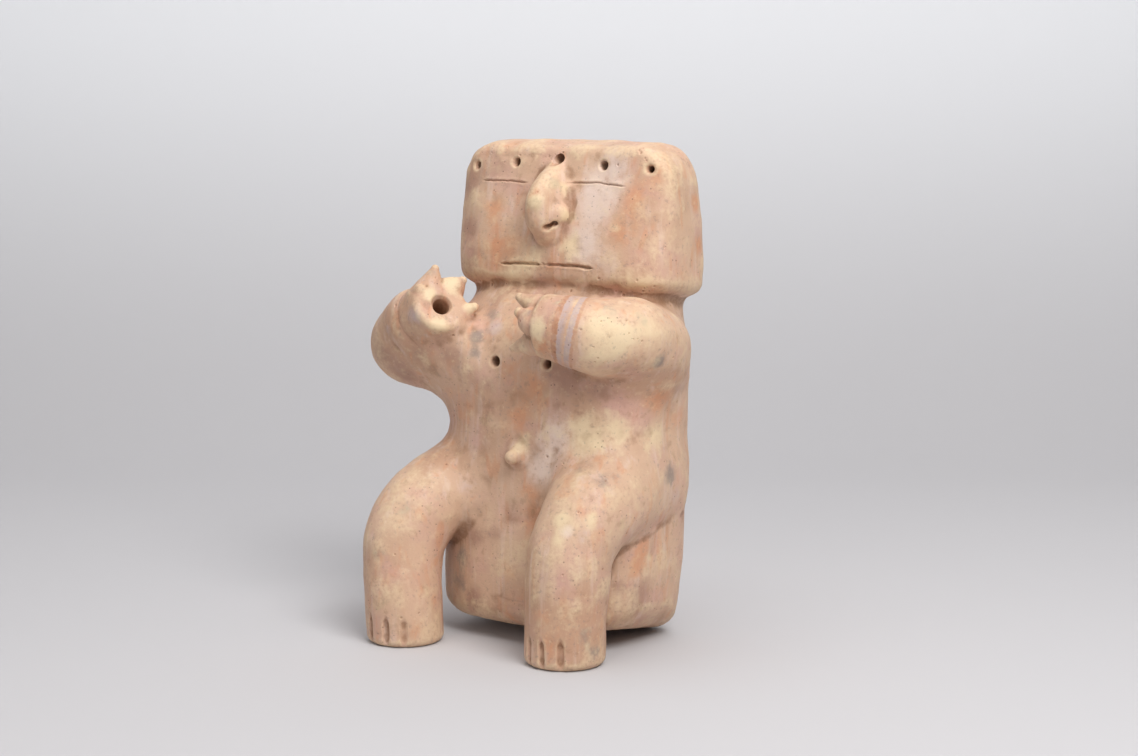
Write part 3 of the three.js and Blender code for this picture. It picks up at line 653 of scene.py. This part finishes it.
# ---------------------------------------------------------------- paint masks
# Colour patches on the skin: (colour, centre in mm, radius, strength). The darker reddish-brown spots are fire-cloud
# brown in most places. Under both forearms, under the head's front edge and low beside the shins they are painted
# shade. On the head's left side they are both.
SPOTS = [
    # darker brown on the head's left side: fire-cloud brown, and painted shade of that side
    ("brown_and_painted_shade", (-66, -5, 273), 13, 0.80), ("brown_and_painted_shade", (-63, -12, 245), 11, 0.90), ("brown_and_painted_shade", (-62, -15, 223), 10, 0.70),
    ("brown_and_painted_shade", (-46, -7, 284), 13, 0.55), ("rose", (-28, -10, 272), 12, 0.60),
    ("orange", (-43, -13, 258), 10, 0.75), ("cream", (-41, -14, 252), 4, 0.50),
    ("orange", (-40, -17, 239), 10, 0.60), ("orange", (-25, -18, 237), 12, 0.60),
    ("brown_and_painted_shade", (-55, -17, 231), 7, 0.50), ("rose", (-9, -6, 291), 12, 0.50), ("pale", (37, -8, 281), 20, 0.60),
    # pale on the face right of the nose: pale slip, and painted highlight
    ("lilac", (42, -6, 286), 12, 0.60), ("pale", (31, -12, 264), 17, 0.90), ("lilac", (26, -11, 270), 9, 0.70),
    ("pale", (26, -17, 240), 14, 0.90), ("lilac", (29, -17, 242), 9, 0.60), ("orange", (56, -9, 268), 10, 0.70),
    ("orange", (50, -14, 250), 14, 0.65), ("cream", (47, -14, 251), 6, 0.50), ("orange", (76, 27, 264), 7, 0.90),
    ("orange", (77, 30, 239), 7, 0.90), ("rose", (77, 29, 251), 12, 0.80), ("rose", (76, 0, 265), 13, 0.50),
    ("rose", (65, -14, 234), 17, 0.60), ("orange", (78, 10, 225), 10, 0.50), ("pale", (45, -18, 228), 12, 0.50),
    ("cream", (65, -14, 218), 14, 0.55), ("cream", (33, -19, 219), 12, 0.50), ("cream", (3, -31, 266), 7, 0.60),
    ("olive", (1, -33, 264), 7, 0.80), ("olive", (7, -20, 276), 6, 0.70), ("cream", (14, -17, 256), 6, 0.90),
    ("cream", (10, -14, 273), 5, 0.80), ("cream", (17, -18, 239), 9, 0.90), ("cream", (-9, -19, 231), 12, 0.60),
    ("olive", (7, -26, 254), 5, 0.40), ("cream", (-21, -19, 219), 17, 0.60), ("smoke", (-16, -18, 216), 5, 0.40),
    ("orange", (-40, -19, 225), 12, 0.50), ("orange", (69, -3, 282), 12, 0.50), ("brown_and_painted_shade", (36, 2, 298), 17, 0.50),
    ("orange", (-38, 4, 298), 17, 0.50), ("cream", (-53, -41, 213), 7, 0.90),
    ("cream", (-60, -55, 209), 6, 0.80), ("cream", (-50, -58, 192), 9, 0.90),
    ("cream", (-41, -39, 201), 5, 0.90), ("cream", (-57, -38, 217), 6, 0.80),
    ("smoke", (-62, -48, 221), 4, 0.60), ("lilac", (-66, -63, 196), 8, 0.70),
    ("smoke", (-83, -58, 195), 6, 0.40), ("lilac", (-92, -56, 186), 5, 0.60),
    # darker brown on the raised arm's lobe under the forearm: painted shade
    ("brown_and_painted_shade", (-102, -49, 169), 10, 0.70), ("brown_and_painted_shade", (-69, -52, 172), 12, 0.50),
    ("brown_and_painted_shade", (-90, -43, 157), 14, 0.80), ("soil", (-64, -46, 162), 10, 0.50), ("soil", (-80, -47, 163), 6, 0.40),
    ("cream", (-82, -56, 202), 4, 0.50), ("brown_and_painted_shade", (-49, -49, 173), 12, 0.70),
    ("brown_and_painted_shade", (-38, -47, 159), 12, 0.50), ("orange", (-54, -42, 149), 10, 0.40),
    ("smoke", (-34, -42, 184), 6, 0.90), ("smoke", (-33, -45, 174), 5, 0.70), ("soil", (-37, -40, 188), 4, 0.70),
    ("lilac", (-24, -37, 189), 8, 0.70), ("smoke", (-31, -31, 195), 7, 0.60),
    # darker brown on the chest under the head's front edge: painted shade
    ("brown_and_painted_shade", (-33, -25, 202), 12, 0.60), ("cream", (-45, -17, 207), 7, 0.40), ("soil", (-22, -42, 178), 5, 0.50),
    ("orange", (-9, -44, 166), 10, 0.50), ("orange", (9, -45, 157), 13, 0.70),
    # darker brown on the chest below the raised arm: painted shade
    ("brown_and_painted_shade", (-24, -45, 155), 9, 0.50), ("soil", (-23, -45, 142), 7, 0.50), ("soil", (-27, -45, 134), 6, 0.50),
    # darker brown on the chest under the folded arm: painted shade
    ("orange", (-2, -46, 137), 14, 0.60), ("rose", (27, -45, 144), 14, 0.60), ("brown_and_painted_shade", (33, -44, 164), 12, 0.90),
    ("brown_and_painted_shade", (53, -40, 158), 12, 0.70), ("brown_and_painted_shade", (21, -44, 168), 6, 0.80), ("rose", (61, -34, 148), 14, 0.80),
    ("orange", (76, -13, 152), 13, 0.80), ("orange", (73, 10, 136), 10, 0.50),
    ("rose", (71, -22, 140), 14, 0.70), ("lilac", (42, -70, 180), 4, 0.60), ("cream", (80, -58, 193), 13, 0.95),
    # pale on the folded arm's elbow: painted highlight within the cream scuff
    ("pale", (81, -56, 193), 9, 0.70), ("cream", (68, -65, 202), 12, 0.70), ("cream", (71, -65, 183), 13, 0.60),
    ("smoke", (70, -55, 208), 9, 0.50), ("smoke", (89, -31, 177), 6, 0.90), ("smoke", (85, -44, 202), 7, 0.40),
    ("cream", (89, -42, 197), 12, 0.60), ("soil", (71, -66, 187), 5, 0.40), ("soil", (74, -53, 173), 9, 0.40),
    ("cream", (35, -76, 196), 7, 0.95), ("orange", (34, -74, 187), 9, 0.80), ("cream", (17, -67, 183), 5, 0.60),
    ("smoke", (27, -72, 205), 4, 0.60), ("smoke", (44, -67, 210), 6, 0.40), ("cream", (18, -64, 210), 5, 0.50),
    ("cream", (52, -63, 212), 7, 0.60), ("cream", (82, -4, 200), 7, 0.60), ("rose", (92, -15, 180), 9, 0.60),
    ("lilac", (92, -25, 186), 4, 0.40), ("pale", (28, -45, 129), 17, 0.70), ("cream", (44, -43, 135), 14, 0.70),
    ("cream", (4, -46, 125), 7, 0.60), ("pale", (16, -46, 109), 14, 0.80), ("cream", (1, -50, 120), 6, 0.70),
    ("cream", (62, -35, 133), 14, 0.70), ("cream", (73, -12, 129), 12, 0.70),
    ("cream", (45, -45, 124), 12, 0.50), ("rose", (-34, -45, 121), 7, 0.70), ("pale", (-24, -46, 120), 6, 0.50),
    ("orange", (-11, -46, 126), 6, 0.30), ("brown_and_painted_shade", (50, -52, 115), 10, 0.50), ("smoke", (52, -55, 113), 7, 0.50),
    ("smoke", (65, -56, 108), 7, 0.60), ("smoke", (69, -46, 111), 7, 0.40), ("smoke", (78, -1, 106), 10, 0.80),
    ("lilac", (76, 6, 92), 9, 0.50), ("orange", (46, -62, 107), 10, 0.50), ("orange", (8, -47, 93), 10, 0.70),
    ("orange", (11, -47, 78), 10, 0.70), ("soil", (-2, -47, 84), 7, 0.50), ("orange", (72, -59, 94), 9, 0.40),
    ("soil", (76, -52, 84), 7, 0.40), ("cream", (-59, -69, 97), 14, 0.50), ("smoke", (-60, -80, 83), 12, 0.35),
    ("cream", (-61, -84, 76), 12, 0.40), ("smoke", (-45, -63, 90), 7, 0.35), ("lilac", (-36, -50, 94), 9, 0.50),
    ("rose", (-75, -86, 75), 9, 0.40), ("pale", (-54, -60, 103), 12, 0.40), ("cream", (53, -77, 88), 7, 0.90),
    # pale on the left knee: painted highlight within the cream scuff
    ("pale", (57, -78, 82), 5, 0.90), ("cream", (67, -69, 88), 6, 0.80), ("smoke", (59, -73, 90), 4, 0.40),
    ("cream", (53, -81, 76), 6, 0.60), ("cream", (41, -84, 63), 7, 0.50), ("rose", (55, -84, 55), 12, 0.60),
    ("lilac", (65, -74, 79), 6, 0.50), ("smoke", (-70, -92, 56), 7, 0.40), ("rose", (-63, -94, 45), 12, 0.60),
    ("orange", (-46, -67, 49), 5, 0.60), ("orange", (-43, -72, 28), 5, 0.60), ("rose", (-48, -83, 42), 10, 0.40),
    ("cream", (-52, -87, 47), 5, 0.30), ("smoke", (-55, -92, 35), 7, 0.30), ("orange", (45, -86, 33), 9, 0.50),
    ("soil", (63, -79, 36), 7, 0.35), ("smoke", (68, -66, 10), 6, 0.80), ("smoke", (66, -74, 21), 7, 0.50),
    ("orange", (50, -86, 16), 10, 0.50), ("soil", (-58, -95, 10), 14, 0.40), ("orange", (-47, -86, 12), 9, 0.50),
    ("soil", (-67, -96, 27), 7, 0.40), ("smoke", (-44, -45, 48), 7, 0.90), ("smoke", (-47, -44, 32), 7, 0.80),
    # darker brown low on the belly between the shins: painted shade
    ("brown_and_painted_shade", (-34, -46, 24), 10, 0.90), ("brown_and_painted_shade", (-33, -46, 63), 9, 0.80), ("orange", (-8, -47, 46), 9, 0.60),
    ("orange", (-2, -47, 29), 9, 0.50), ("soil", (-18, -46, 19), 9, 0.60), ("orange", (-20, -47, 54), 6, 0.30),
    ("brown_and_painted_shade", (-17, -47, 67), 9, 0.60), ("orange", (70, -20, 63), 9, 0.90), ("orange", (69, -23, 51), 7, 0.90),
    # darker brown low on the body's left side behind the shin: painted shade
    ("cream", (71, -13, 57), 5, 0.70), ("orange", (72, 4, 67), 7, 0.50), ("brown_and_painted_shade", (69, -18, 35), 14, 0.80),
    ("brown_and_painted_shade", (62, -34, 42), 7, 0.70), ("smoke", (70, 12, 40), 7, 0.40), ("lilac", (72, 13, 75), 9, 0.40),
    ("soil", (66, -23, 26), 12, 0.50), ("soil", (68, 10, 24), 7, 0.40), ("rose", (80, 4, 157), 7, 0.50),
    ("brown_and_painted_shade", (75, 12, 116), 7, 0.40), ("orange", (73, 17, 140), 7, 0.40),
]


def masks(V, N, T, pits):
    out = {}
    # hollows and ridges: how far a vertex lies from the mean of its neighbours, along the normal
    E = np.concatenate([T[:, [0, 1]], T[:, [1, 2]], T[:, [2, 0]]])
    cur = np.zeros(len(V))
    M = V.copy()
    cnt = np.bincount(E[:, 0], minlength=len(V))[:, None] + np.bincount(E[:, 1], minlength=len(V))[:, None]
    for r in range(9):
        S = np.zeros_like(V)
        for a in range(3):
            S[:, a] = np.bincount(E[:, 0], M[E[:, 1], a], len(V)) + np.bincount(E[:, 1], M[E[:, 0], a], len(V))
        M = S / cnt
    cur = ((M - V) * N).sum(1)
    out["hollow"] = np.clip(cur / 0.55, 0, 1)
    out["ridge"] = np.clip(-cur / 0.55, 0, 1)
    for name in ("cream", "rose", "orange", "smoke", "soil", "pale", "brown_and_painted_shade", "lilac", "olive"):
        out[name] = np.zeros(len(V))
    q = spline(ARM_L, 26)
    step = np.linalg.norm(np.diff(q[:, :3], axis=0), axis=1)
    back = np.concatenate([np.cumsum(step[::-1])[::-1], [0]])
    near = np.where((V[:, 1] < -30) & (V[:, 2] > 170) & (V[:, 0] > 25) & (V[:, 0] < 62))[0]
    D = ((V[near, None, :] - q[None, 60::2, :3]) ** 2).sum(2)
    w = back[60::2][D.argmin(1)]
    for name, centre, half in (("stripe", 23.2, 1.5), ("stripe", 28.4, 1.5), ("groove", 20.7, 0.8), ("groove", 30.9, 0.6)):
        out.setdefault(name, np.zeros(len(V)))
        out[name][near] = np.maximum(out[name][near], smooth((half + 0.5 - np.abs(w - centre)) / 0.9))
    for name, p, r, strength in SPOTS:
        r = np.array(r if hasattr(r, "__len__") else (r, r, r), float)
        q = (V - np.array(p)) / r
        g = np.exp(-1.1 * (q**2).sum(1)) * strength
        out[name] = 1 - (1 - out[name]) * (1 - np.clip(g, 0, 1))
    return out


# ---------------------------------------------------------------- fired clay
def lin(c):
    return tuple(((v / 255) / 12.92 if v <= 10 else ((v / 255 + 0.055) / 1.055) ** 2.4) for v in c) + (1.0,)


class Paint:
    """Small helper around one material's nodes."""

    def __init__(self, name):
        self.m = bpy.data.materials.new(name)
        self.m.use_nodes = True
        self.t = self.m.node_tree
        self.t.nodes.clear()
        self.out = self.t.nodes.new("ShaderNodeOutputMaterial")
        self.bsdf = self.t.nodes.new("ShaderNodeBsdfPrincipled")
        self.t.links.new(self.bsdf.outputs[0], self.out.inputs["Surface"])
        self.co = self.t.nodes.new("ShaderNodeTexCoord").outputs["Object"]

    def put(self, socket, value):
        if hasattr(value, "is_output"):
            self.t.links.new(value, socket)
        elif value is not None:
            socket.default_value = value

    def math(self, op, a, b=None, c=None, clamp=False):
        n = self.t.nodes.new("ShaderNodeMath")
        n.operation, n.use_clamp = op, clamp
        for s, v in zip(n.inputs, (a, b, c)):
            self.put(s, v)
        return n.outputs[0]

    def mask(self, name):
        n = self.t.nodes.new("ShaderNodeAttribute")
        n.attribute_name = name
        return n.outputs["Fac"]

    def place(self, scale):
        n = self.t.nodes.new("ShaderNodeMapping")
        self.put(n.inputs["Vector"], self.co)
        n.inputs["Scale"].default_value = scale
        return n.outputs[0]

    def noise(self, scale, detail=3, rough=0.55, stretch=None, distort=0.0):
        n = self.t.nodes.new("ShaderNodeTexNoise")
        self.put(n.inputs["Vector"], self.place(stretch) if stretch else self.co)
        n.inputs["Scale"].default_value = scale
        n.inputs["Detail"].default_value = detail
        n.inputs["Roughness"].default_value = rough
        n.inputs["Distortion"].default_value = distort
        return n.outputs["Fac"]

    def cells(self, scale, feature="F1", rand=1.0):
        n = self.t.nodes.new("ShaderNodeTexVoronoi")
        n.feature = feature
        self.put(n.inputs["Vector"], self.co)
        n.inputs["Scale"].default_value = scale
        n.inputs["Randomness"].default_value = rand
        return n.outputs["Distance"]

    def ramp(self, fac, lo, hi, a=0.0, b=1.0):
        n = self.t.nodes.new("ShaderNodeMapRange")
        n.interpolation_type = "SMOOTHSTEP"
        for s, v in zip(n.inputs, (fac, lo, hi, a, b)):
            self.put(s, v)
        return n.outputs[0]

    def mix(self, fac, a, b, blend="MIX"):
        n = self.t.nodes.new("ShaderNodeMix")
        n.data_type, n.blend_type = "RGBA", blend
        self.put(n.inputs[0], fac)
        self.put(n.inputs[6], a)
        self.put(n.inputs[7], b)
        return n.outputs[2]


MAUVE = (186, 162, 156)
BUFF, TAN, BROWN_AND_PAINTED_SHADE, ROSE, ORANGE = (208, 173, 146), (192, 152, 125), (168, 130, 112), (204, 160, 146), (208, 146, 108)
CREAM, PALE, LILAC, OLIVE = (224, 200, 164), (226, 204, 190), (200, 180, 178), (176, 158, 128)
SMOKE, SOIL_AND_PAINTED_SHADE, DARK = (132, 120, 114), (140, 102, 74), (64, 44, 34)


def terracotta():
    p = Paint("terracotta")
    broad = p.noise(16, 2, 0.5)
    cloud = p.noise(42, 4, 0.6)
    mottle = p.noise(130, 4, 0.65)
    fine = p.noise(420, 3, 0.6)
    grain = p.noise(1500, 2, 0.6)
    streak = p.noise(60, 3, 0.55, stretch=(2.6, 2.6, 0.22))
    dab = p.noise(75, 2, 0.5, stretch=(1.6, 1.6, 0.5), distort=0.6)
    c = p.mix(p.ramp(broad, 0.35, 0.68), lin(BUFF), lin(TAN))
    c = p.mix(p.ramp(cloud, 0.45, 0.72, 0.0, 0.55), c, lin(ROSE))
    c = p.mix(p.ramp(dab, 0.56, 0.70, 0.0, 0.42), c, lin(ORANGE))
    c = p.mix(p.ramp(streak, 0.52, 0.74, 0.0, 0.35), c, lin(PALE))

    def spot(c, name, colour, top=0.85, ragged=0.5):
        edge = p.math("MULTIPLY_ADD", mottle, ragged * 1.6, -0.8 * ragged)
        fac = p.ramp(p.math("ADD", p.mask(name), edge), 0.22, 0.85, 0.0, top)
        return p.mix(p.math("MULTIPLY", fac, p.ramp(p.mask(name), 0.02, 0.2)), c, lin(colour))

    # darker brown spots: fire-cloud brown, and painted shade under the arms, under the head and beside the shins
    c = spot(c, "brown_and_painted_shade", BROWN_AND_PAINTED_SHADE, 0.8)
    c = spot(c, "rose", ROSE, 0.75)
    c = spot(c, "orange", ORANGE, 0.75, 0.7)
    c = spot(c, "lilac", LILAC, 0.75)
    # pale spots: pale slip, and painted highlight on the left knee, the folded arm's elbow and the face right of the
    # nose
    c = spot(c, "pale", PALE, 0.85)
    c = spot(c, "cream", CREAM, 0.9, 0.7)
    c = spot(c, "olive", OLIVE, 0.7)
    c = spot(c, "smoke", SMOKE, 0.75, 0.8)
    c = spot(c, "soil", SOIL_AND_PAINTED_SHADE, 0.75, 0.8)
    c = p.mix(p.math("MULTIPLY", p.mask("stripe"), p.ramp(mottle, 0.35, 0.55, 0.45, 0.95)), c, lin(MAUVE))
    c = p.mix(p.math("MULTIPLY", p.mask("groove"), p.ramp(mottle, 0.40, 0.55, 0.35, 0.9)), c, lin((178, 126, 96)))
    # small blotches and flecks
    c = p.mix(p.ramp(mottle, 0.54, 0.72, 0.0, 0.30), c, lin(CREAM))
    c = p.mix(p.ramp(mottle, 0.44, 0.28, 0.0, 0.30), c, lin(SOIL_AND_PAINTED_SHADE))
    c = p.mix(p.ramp(fine, 0.58, 0.74, 0.0, 0.32), c, lin(CREAM))
    c = p.mix(p.ramp(fine, 0.42, 0.28, 0.0, 0.32), c, lin(SMOKE))
    flecks = p.math("MULTIPLY", p.ramp(p.cells(260), 0.16, 0.05), p.ramp(cloud, 0.45, 0.62))
    c = p.mix(p.math("MULTIPLY", flecks, 0.7), c, lin(DARK))
    worn = p.math("MULTIPLY", p.ramp(p.mask("ridge"), 0.12, 0.8), p.ramp(fine, 0.36, 0.6, 0.35, 1.0))
    c = p.mix(p.math("MULTIPLY", worn, 0.55), c, lin(CREAM))
    # painted shade: hollows, creases and the insides of the vents, slits and toe notches are darkened towards soil
    # brown
    deep = p.math("MULTIPLY", p.ramp(p.mask("hollow"), 0.10, 0.85), p.ramp(fine, 0.3, 0.6, 0.6, 1.0))
    c = p.mix(p.math("MULTIPLY", deep, 0.75), c, lin(SOIL_AND_PAINTED_SHADE))
    p.put(p.bsdf.inputs["Base Color"], c)
    rough = p.ramp(cloud, 0.3, 0.7, 0.46, 0.62)
    p.put(p.bsdf.inputs["Roughness"], p.math("ADD", rough, p.ramp(fine, 0.35, 0.7, -0.05, 0.10)))
    p.bsdf.inputs["Specular IOR Level"].default_value = 0.32
    height = p.math("MULTIPLY_ADD", fine, 0.45, p.math("MULTIPLY", grain, 0.22))
    height = p.math("MULTIPLY_ADD", mottle, 0.6, height)
    height = p.math("MULTIPLY_ADD", streak, 0.35, height)
    b = p.t.nodes.new("ShaderNodeBump")
    b.inputs["Strength"].default_value = 0.55
    b.inputs["Distance"].default_value = 0.0006
    p.put(b.inputs["Height"], height)
    p.put(p.bsdf.inputs["Normal"], b.outputs[0])
    return p.m


# ---------------------------------------------------------------- scene
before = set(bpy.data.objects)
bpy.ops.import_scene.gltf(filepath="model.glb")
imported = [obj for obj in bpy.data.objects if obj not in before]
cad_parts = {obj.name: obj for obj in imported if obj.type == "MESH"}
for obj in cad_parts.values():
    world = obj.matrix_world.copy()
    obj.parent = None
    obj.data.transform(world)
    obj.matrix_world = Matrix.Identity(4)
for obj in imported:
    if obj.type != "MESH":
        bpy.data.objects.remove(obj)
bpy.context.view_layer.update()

V, T, N, PITS = figure_skin()
V = V + relief(V, N, PITS)[:, None] * N
V[:, 2] = np.maximum(V[:, 2], 0.0)
N = normals(V, T)
MASKS = masks(V, N, T, PITS)
print("skin", len(V), "vertices", len(T), "triangles")

piece = bpy.data.objects.new("clay_figure", mesh_of("clay_figure", (V + AXIS) / 1000.0, T))
bpy.context.scene.collection.objects.link(piece)
for name, values in MASKS.items():
    a = piece.data.attributes.new(name, "FLOAT", "POINT")
    a.data.foreach_set("value", np.ascontiguousarray(values, np.float32))
piece.data.polygons.foreach_set("use_smooth", np.ones(len(T), bool))
piece.data.materials.append(terracotta())
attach(piece, "root")
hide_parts("figure")

# floor and backdrop in one pale sweep, square to the view
view_dir = np.array([-0.5683643, 0.81170834])
view_dir /= np.linalg.norm(view_dir)
side_dir = np.array([view_dir[1], -view_dir[0]])
run = [(-1.6, 0.0), (-0.5, 0.0), (0.2, 0.0), (0.55, 0.0)]
run += [(0.55 + 0.6 * math.sin(a), 0.6 * (1 - math.cos(a))) for a in np.linspace(0.1, math.pi / 2, 14)] + [(1.15, 2.4)]
rows = []
for d, z in run:
    for s in (-2.2, 2.2):
        xy = view_dir * d + side_dir * s
        rows.append((xy[0], xy[1], z))
faces = [(2 * i, 2 * i + 1, 2 * i + 3, 2 * i + 2) for i in range(len(run) - 1)]
sweep = bpy.data.meshes.new("sweep")
sweep.from_pydata(rows, [], faces)
floor = bpy.data.objects.new("floor", sweep)
bpy.context.scene.collection.objects.link(floor)
sweep.polygons.foreach_set("use_smooth", [True] * len(faces))
paper = Paint("paper")
split_xyz = paper.t.nodes.new("ShaderNodeSeparateXYZ")
paper.put(split_xyz.inputs[0], paper.co)
# painted shade: the paper is grey on the floor and turns near-white up the backdrop
paper.put(paper.bsdf.inputs["Base Color"], paper.mix(paper.ramp(split_xyz.outputs["Z"], 0.0, 0.5), lin((196, 194, 196)), lin((246, 247, 250))))
paper.bsdf.inputs["Roughness"].default_value = 0.9
sweep.materials.append(paper.m)


def lamp(name, place, aim, size, power, colour=(1, 1, 1)):
    d = bpy.data.lights.new(name, "AREA")
    d.shape, d.size, d.size_y = "RECTANGLE", size[0], size[1]
    d.energy, d.color = power, colour
    o = bpy.data.objects.new(name, d)
    bpy.context.scene.collection.objects.link(o)
    o.location = place
    o.rotation_euler = (Vector(aim) - Vector(place)).to_track_quat("-Z", "Y").to_euler()
    return o


def at(forward, right, up):
    """A place in the room, measured along the line of sight from the figure."""
    xy = view_dir * forward + side_dir * right
    return (xy[0], xy[1], up)


lamp("key", at(-1.05, 0.55, 1.30), (0, 0, 0.15), (0.8, 0.8), 21, (1.0, 0.995, 0.985))
lamp("overhead", at(-0.15, -0.05, 1.50), (0, 0, 0.15), (1.2, 1.0), 9, (1.0, 0.99, 0.98))
lamp("fill", at(-1.5, -0.8, 0.75), (0, 0, 0.15), (1.0, 1.0), 3.5, (0.98, 0.99, 1.0))

world = bpy.data.worlds.new("studio")
bpy.context.scene.world = world
world.use_nodes = True
bg = world.node_tree.nodes["Background"]
bg.inputs["Color"].default_value = (0.97, 0.98, 1.0, 1.0)
bg.inputs["Strength"].default_value = 0.30

cam = bpy.data.cameras.new("camera")
cam.lens, cam.sensor_width = 72.76, 36.0
cam.clip_start, cam.clip_end = 0.05, 20
eye = bpy.data.objects.new("camera", cam)
bpy.context.scene.collection.objects.link(eye)
eye.location = (0.80909, -1.10612, 0.344)
eye.rotation_euler = Vector((-0.5683643, 0.81170834, -0.13450504)).to_track_quat("-Z", "Y").to_euler()
bpy.context.scene.camera = eye
bpy.context.scene.view_settings.view_transform = "Standard"
bpy.context.scene.view_settings.look = "None"
